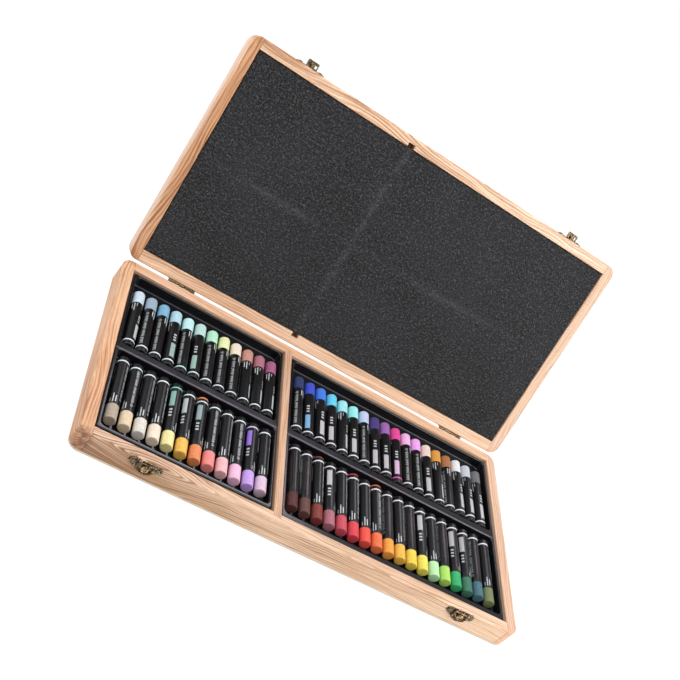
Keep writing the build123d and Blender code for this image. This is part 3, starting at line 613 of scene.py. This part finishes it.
def wrapper_material(ring, patch):
    """Glossy black printed paper. The layout map holds millimetres: u round the wrapper from the bars'
    middle, v along it from the bare end. Plain bars, a row of even ticks and a patch, no lettering."""
    key = (ring, patch)
    if key in wrap_cache:
        return wrap_cache[key]
    t = Tree(f"wrapper_paper_{len(wrap_cache):02d}", 0.3, 0.4)
    n = t.new("ShaderNodeUVMap", uv_map="layout")
    u, v, _ = t.xyz(n.outputs[0])
    p = t.place()
    speck = t.noise(p, 1.3, 3.0, 0.7)
    paper = t.mix(t.step(speck, 0.35, 0.65), lin(8, 8, 9), lin(27, 26, 28))
    ink = lin(228, 231, 228)
    worn = t.step(t.noise(t.vec(t.m("MULTIPLY", u, 1.6), t.m("MULTIPLY", v, 0.7), 2.0), 1.0, 2.0, 0.7), 0.34, 0.54)
    keep = t.m("ADD", 0.25, t.m("MULTIPLY", worn, 0.75))
    # three thin bars beside the bare end
    bars = None
    for c, w, a, b in ((-2.1, 0.22, 1.8, 5.4), (0.0, 0.42, 1.6, 10.8), (2.1, 0.42, 2.2, 8.6)):
        one = t.m("MULTIPLY", t.band(u, c - w, c + w, 0.06), t.band(v, a, b, 0.1))
        bars = one if bars is None else t.m("ADD", bars, one, clamp=True)
    # a row of even ticks along the wrapper, every ninth left out, like a plain scale
    tick = t.band(t.m("FRACT", t.m("DIVIDE", v, 1.04)), 0.14, 0.56, 0.06)
    ninth = t.m("GREATER_THAN", t.m("FRACT", t.m("DIVIDE", t.m("ADD", v, 1.3), 9.36)), 0.112)
    short = t.m("GREATER_THAN", t.m("FRACT", t.m("DIVIDE", v, 2.08)), 0.5)
    wide = t.m("MULTIPLY", t.band(u, 5.3, 7.9, 0.05), t.m("SUBTRACT", 1.0, t.m("MULTIPLY", short, t.band(u, 7.0, 8.4, 0.05))))
    run = t.m("MULTIPLY", t.m("MULTIPLY", wide, t.band(v, 5.2, 44.6, 0.05)), t.m("MULTIPLY", tick, ninth))
    # the patch, and three squares towards the bare end
    panel = t.m("MULTIPLY", t.band(u, -9.2, -4.9, 0.05), t.band(v, 27.0, 43.5, 0.05))
    square = t.band(t.m("FRACT", t.m("DIVIDE", t.m("SUBTRACT", v, 15.0), 3.3)), 0.12, 0.62, 0.04)
    marks = t.m("MULTIPLY", t.m("MULTIPLY", t.band(u, -8.3, -5.8, 0.04), t.band(v, 15.0, 24.9, 0.05)), square)
    # a column of very fine pale flecks
    tv = t.m("FLOOR", t.m("DIVIDE", v, 0.34))
    tu = t.m("FLOOR", t.m("DIVIDE", u, 0.75))
    tiny = t.m("MULTIPLY", t.m("GREATER_THAN", t.white(t.vec(tu, tv, 5.0)), 0.55), t.m("GREATER_THAN", t.m("FRACT", t.m("DIVIDE", u, 0.75)), 0.45))
    tiny = t.m("MULTIPLY", tiny, t.m("MULTIPLY", t.band(u, 10.2, 14.2, 0.04), t.band(v, 8.0, 40.0, 0.05)))
    ringm = t.band(v, 47.0, 48.35, 0.04)
    c = t.mix(t.m("MULTIPLY", tiny, 0.4), paper, lin(112, 86, 78))
    c = t.mix(t.m("MULTIPLY", t.m("MULTIPLY", run, keep), 0.85), c, ink)
    c = t.mix(t.m("MULTIPLY", marks, 0.7), c, ink)
    c = t.mix(t.m("MULTIPLY", t.m("MULTIPLY", bars, keep), 0.8), c, ink)
    fleck = t.noise(t.vec(t.m("MULTIPLY", u, 1.4), t.m("MULTIPLY", v, 0.9), 4.0), 1.0, 2.0, 0.6)
    c = t.mix(panel, c, t.mix(t.m("MULTIPLY", t.step(fleck, 0.4, 0.7), 0.3), lin(*patch), lin(*[q * 0.7 for q in patch])))
    c = t.mix(ringm, c, lin(*ring))
    t.colour(c)
    printed = t.m("ADD", t.m("ADD", ringm, panel), t.m("ADD", bars, run), clamp=True)
    t.rough(t.m("ADD", t.m("ADD", 0.24, t.m("MULTIPLY", speck, 0.1)), t.m("MULTIPLY", printed, 0.12)))
    t.bump(t.m("ADD", t.m("MULTIPLY", t.noise(p, 0.35, 2.0), 1.0), t.m("MULTIPLY", printed, 0.12)), 0.25, 0.0002)
    wrap_cache[key] = t.mat
    return t.mat


SEG = 48


def stick_mesh(cx, tip, way, seed, length):
    """way is +1 where the bare tip is at the low-y end. Rounded, slightly worn arris at each end."""
    prof = [(0.0, 0.0, 0.16), (0.0, 1.6, 0.12), (0.0, 3.2, 0.04), (0.0, 4.15, 0.0), (0.0, 4.5, 0.05), (0.0, 4.72, 0.18), (0.0, 4.82, 0.40), (0.0, 4.85, 0.75)]
    rows = [(r, d) for _, r, d in prof]
    rows += [(4.85, d) for d in (2.2, 4.0, 6.0, 8.0, 10.0, 12.0, 14.0, 16.0)]
    rows += [(4.80, 18.0), (4.80, length - 6.0)]
    rows += [(4.82, length - 4.4), (4.82, length - 2.4), (4.82, length - 0.75), (4.80, length - 0.40), (4.72, length - 0.18), (4.5, length - 0.05), (4.15, length), (3.0, length - 0.03), (0.0, length - 0.05)]
    verts, faces, at = [], [], []
    for k, (r, d) in enumerate(rows):
        if r == 0.0:
            at.append([len(verts)])
            verts.append((cx, tip + way * d, AXIS_Z))
            continue
        ring = []
        for i in range(SEG):
            a = 2 * math.pi * i / SEG
            w = 1.0
            if 4.0 < r and d < 17:
                w -= 0.006 * (0.5 + 0.5 * soft_noise(i / 4.0 + seed * 9, d / 2.6 + seed * 3, seed))
                if 4.4 < r < 4.84:
                    w -= 0.012 * max(0.0, soft_noise(i / 3.0, seed * 7.0, seed + 40))
            ring.append(len(verts))
            verts.append((cx + r * w * math.sin(a), tip + way * d, AXIS_Z + r * w * math.cos(a)))
        at.append(ring)
    for a, b in zip(at, at[1:]):
        for i in range(SEG):
            j = (i + 1) % SEG
            if len(a) == 1:
                f = (a[0], b[j], b[i])
            elif len(b) == 1:
                f = (a[i], a[j], b[0])
            else:
                f = (a[i], a[j], b[j], b[i])
            faces.append(f if way > 0 else tuple(reversed(f)))
    return verts, faces


def wrapper_mesh(cx, tip, way, roll, bare_end, seed):
    """A rolled sleeve with one overlapping edge; its far end is folded over the stick unless bare_end
    leaves that much of the stick showing. roll turns the print about the axis."""
    v0, v1 = TIP_L, STICK_L - (bare_end or 0.0)
    ins = WRAP_R - 0.17
    circ = 2 * math.pi * WRAP_R
    cols = SEG
    # outside: along, radius drop; the ends are turned in a little
    length = v1 - v0
    lines = [(0.0, 0.10), (0.10, 0.03), (0.35, 0.0)] + [(length * k / 10, 0.0) for k in range(1, 10)]
    if bare_end:
        lines += [(length - 0.35, 0.0), (length - 0.10, 0.03), (length, 0.10)]
    else:
        lines += [(length - 0.9, 0.0), (length - 0.45, 0.05), (length - 0.16, 0.22), (length - 0.03, 0.5), (length, 0.95), (length - 0.02, 1.8), (length - 0.05, 2.9), (length - 0.02, 3.9), (length - 0.10, 4.6)]
    verts, uvs, faces, fuv = [], [], [], []

    def point(col, s, r):
        a = math.radians(roll) + math.pi + 2 * math.pi * col / cols     # from the seam
        if way < 0:
            a = -a
        return (cx + r * math.sin(a), tip + way * (v0 + s), AXIS_Z + r * math.cos(a))

    def layout(col, s):
        return (circ * (col / cols - 0.5), s)

    outer, inner = [], []
    for k, (s, drop) in enumerate(lines):
        row = []
        for c in range(cols + 1):
            lift = 0.0
            if c >= cols - 1 and drop < 0.3:
                lift = 0.055 * (c - cols + 1)          # the overlapping edge stands proud
            wave = 0.012 * soft_noise(c / 5.0 + seed * 3, s / 9.0, seed + 80)
            pleat = 0.0
            if drop > 0.6:                             # pleats of the folded end
                pleat = 0.09 * (0.5 + 0.5 * math.cos(2 * math.pi * c / 6.0 + drop)) * min(1.0, (WRAP_R - drop) / 3)
            row.append(len(verts))
            verts.append(point(c, s - pleat, max(0.35, WRAP_R - 0.055 - drop) + lift + (wave if drop < 0.6 else 0.0)))
            uvs.append(layout(c, s + (drop if k > 12 and not bare_end else 0.0)))
        outer.append(row)
    for s in ((lines[0][0], lines[-1][0]) if bare_end else (lines[0][0], length - 0.35)):
        row = []
        for c in range(cols + 1):
            row.append(len(verts))
            verts.append(point(c, s, ins))
            uvs.append(layout(c, s))
        inner.append(row)
    if not bare_end:                                   # back of the folded end
        row = []
        for c in range(cols + 1):
            row.append(len(verts))
            verts.append(point(c, length - 0.35, 0.35))
            uvs.append(layout(c, length - 0.35))
        inner.append(row)

    def quad(a, b, c, d):
        f = (a, b, c, d)
        if way > 0:
            f = (d, c, b, a)
        faces.append(f)
        fuv.append([uvs[i] for i in f])

    for a, b in zip(outer, outer[1:]):
        for c in range(cols):
            quad(a[c], b[c], b[c + 1], a[c + 1])
    for c in range(cols):
        quad(inner[0][c], outer[0][c], outer[0][c + 1], inner[0][c + 1])
        quad(inner[1][c], inner[0][c], inner[0][c + 1], inner[1][c + 1])
        if bare_end:
            quad(outer[-1][c], inner[1][c], inner[1][c + 1], outer[-1][c + 1])
        else:
            quad(inner[2][c], inner[1][c], inner[1][c + 1], inner[2][c + 1])
            quad(outer[-1][c], inner[2][c], inner[2][c + 1], outer[-1][c + 1])
    # the sheet's two long edges, where it starts and where it overlaps
    for c in (0, cols):
        rim = [row[c] for row in outer]
        f = tuple(rim + [row[c] for row in reversed(inner)])
        if (way > 0) == (c == 0):
            f = tuple(reversed(f))
        faces.append(f)
        fuv.append([uvs[i] for i in f])
    return verts, faces, fuv


n_piece = 0
for row, items in ROWS.items():
    body = "left_tray" if row.startswith("left") else "right_tray"
    first = FIRST_L if row.startswith("left") else FIRST_R
    group_of = [g for g, n in GROUPS[row] for _ in range(n)]
    for i, (rgb, roll) in enumerate(items):
        n_piece += 1
        tag = f"{row}_{i + 1:02d}"
        cx = first + i * PITCH
        way = 1 if row.endswith("front") else -1
        slide = (hash01(tag, "slide") - 0.5) * 1.3
        if way > 0:
            tip = FRONT_TIP + slide
        else:
            tip = BACK_END + STICK_L + min(slide, 0.3)
        bare = BARE_END.get((row, i))
        v, f = stick_mesh(cx, tip, way, n_piece, STICK_L if bare else STICK_L - 0.45)
        s = make("pastel_" + tag, v, f, [stick_material("wax_" + tag, rgb, n_piece)])
        node = f"sticks_{row}_{group_of[i]}"
        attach(s, body)
        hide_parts(node)
        ring = SPECIAL_RING.get((row, i), (222, 232, 228) if row.startswith("left") else (228, 226, 226))
        patch = SPECIAL_PATCH.get((row, i), (186, 194, 188) if row.startswith("left") else (188, 184, 184))
        v, f, uv = wrapper_mesh(cx, tip, way, (-34 if way > 0 else 34) + roll + (hash01(tag, "roll") - 0.5) * 8, bare, n_piece)
        w = make("wrapper_" + tag, v, f, [wrapper_material(ring, patch)], uvs=uv)
        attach(w, body)
        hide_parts(f"wrappers_{row}")

# ---------------------------------------------------------------- floor
floor_me = bpy.data.meshes.new("floor")
R = 4.0
floor_me.from_pydata([(-R, -R, -0.0003), (R, -R, -0.0003), (R, R, -0.0003), (-R, R, -0.0003)], [], [(0, 1, 2, 3)])
floor = bpy.data.objects.new("floor", floor_me)
scene.collection.objects.link(floor)
ft = Tree("floor_pale", 0.9, 0.0)
ft.colour((0.15, 0.15, 0.15))
ft.put(ft.b.inputs["Emission Color"], (1.0, 1.0, 1.0))
ft.b.inputs["Emission Strength"].default_value = 0.93
floor_me.materials.append(ft.mat)

# ---------------------------------------------------------------- light
world = bpy.data.worlds.new("studio")
scene.world = world
world.use_nodes = True
bg = world.node_tree.nodes["Background"]
bg.inputs["Color"].default_value = (1.0, 1.0, 1.0, 1.0)
bg.inputs["Strength"].default_value = 0.42


def area(name, loc, target, size, power, colour=(1, 1, 1)):
    d = bpy.data.lights.new(name, "AREA")
    d.shape = "RECTANGLE"
    d.size, d.size_y = size
    d.energy = power
    d.color = colour
    o = bpy.data.objects.new(name, d)
    scene.collection.objects.link(o)
    o.location = loc
    o.rotation_mode = "QUATERNION"
    o.rotation_quaternion = (Vector(target) - Vector(loc)).to_track_quat("-Z", "Y")
    return o


area("top_softbox", (0.0, 0.1, 1.5), (0.0, 0.0, 0.0), (1.7, 1.2), 12.0, (0.97, 1.0, 1.07))
area("right_softbox", (1.05, -0.55, 0.85), (0.05, 0.0, 0.03), (0.9, 0.9), 5.5)
area("front_strip", (0.75, -0.95, 1.25), (0.0, 0.0, 0.0), (1.0, 0.35), 4.0)
area("low_right", (0.74, -0.76, 0.24), (0.15, -0.1, 0.01), (0.5, 0.5), 3.4, (1.0, 0.98, 0.95))
area("left_softbox", (-1.1, 0.3, 0.95), (-0.05, 0.0, 0.05), (1.0, 1.0), 9.0, (0.96, 1.0, 1.08))
area("back_panel", (0.34, 1.0, 1.06), (-0.12, -0.09, 0.02), (0.5, 0.3), 2.8, (0.93, 0.88, 1.0))

# ---------------------------------------------------------------- camera
cam_data = bpy.data.cameras.new("camera")
cam = bpy.data.objects.new("camera", cam_data)
scene.collection.objects.link(cam)
cam_right = Vector((0.818804, 0.016277, 0.573843))
cam_up = Vector((-0.439966, 0.659907, 0.609059))
cam_back = cam_right.cross(cam_up)
cam.matrix_world = Matrix.Translation((-0.353955, -0.659917, 0.557933)) @ Matrix((cam_right, cam_up, cam_back)).transposed().to_4x4()
cam_data.sensor_width = 36.0
cam_data.sensor_fit = "HORIZONTAL"
cam_data.lens = 1114.02 / 680 * 36.0
cam_data.shift_x = 0.01546
cam_data.shift_y = 0.0712
cam_data.clip_start, cam_data.clip_end = 0.01, 20.0
scene.camera = cam
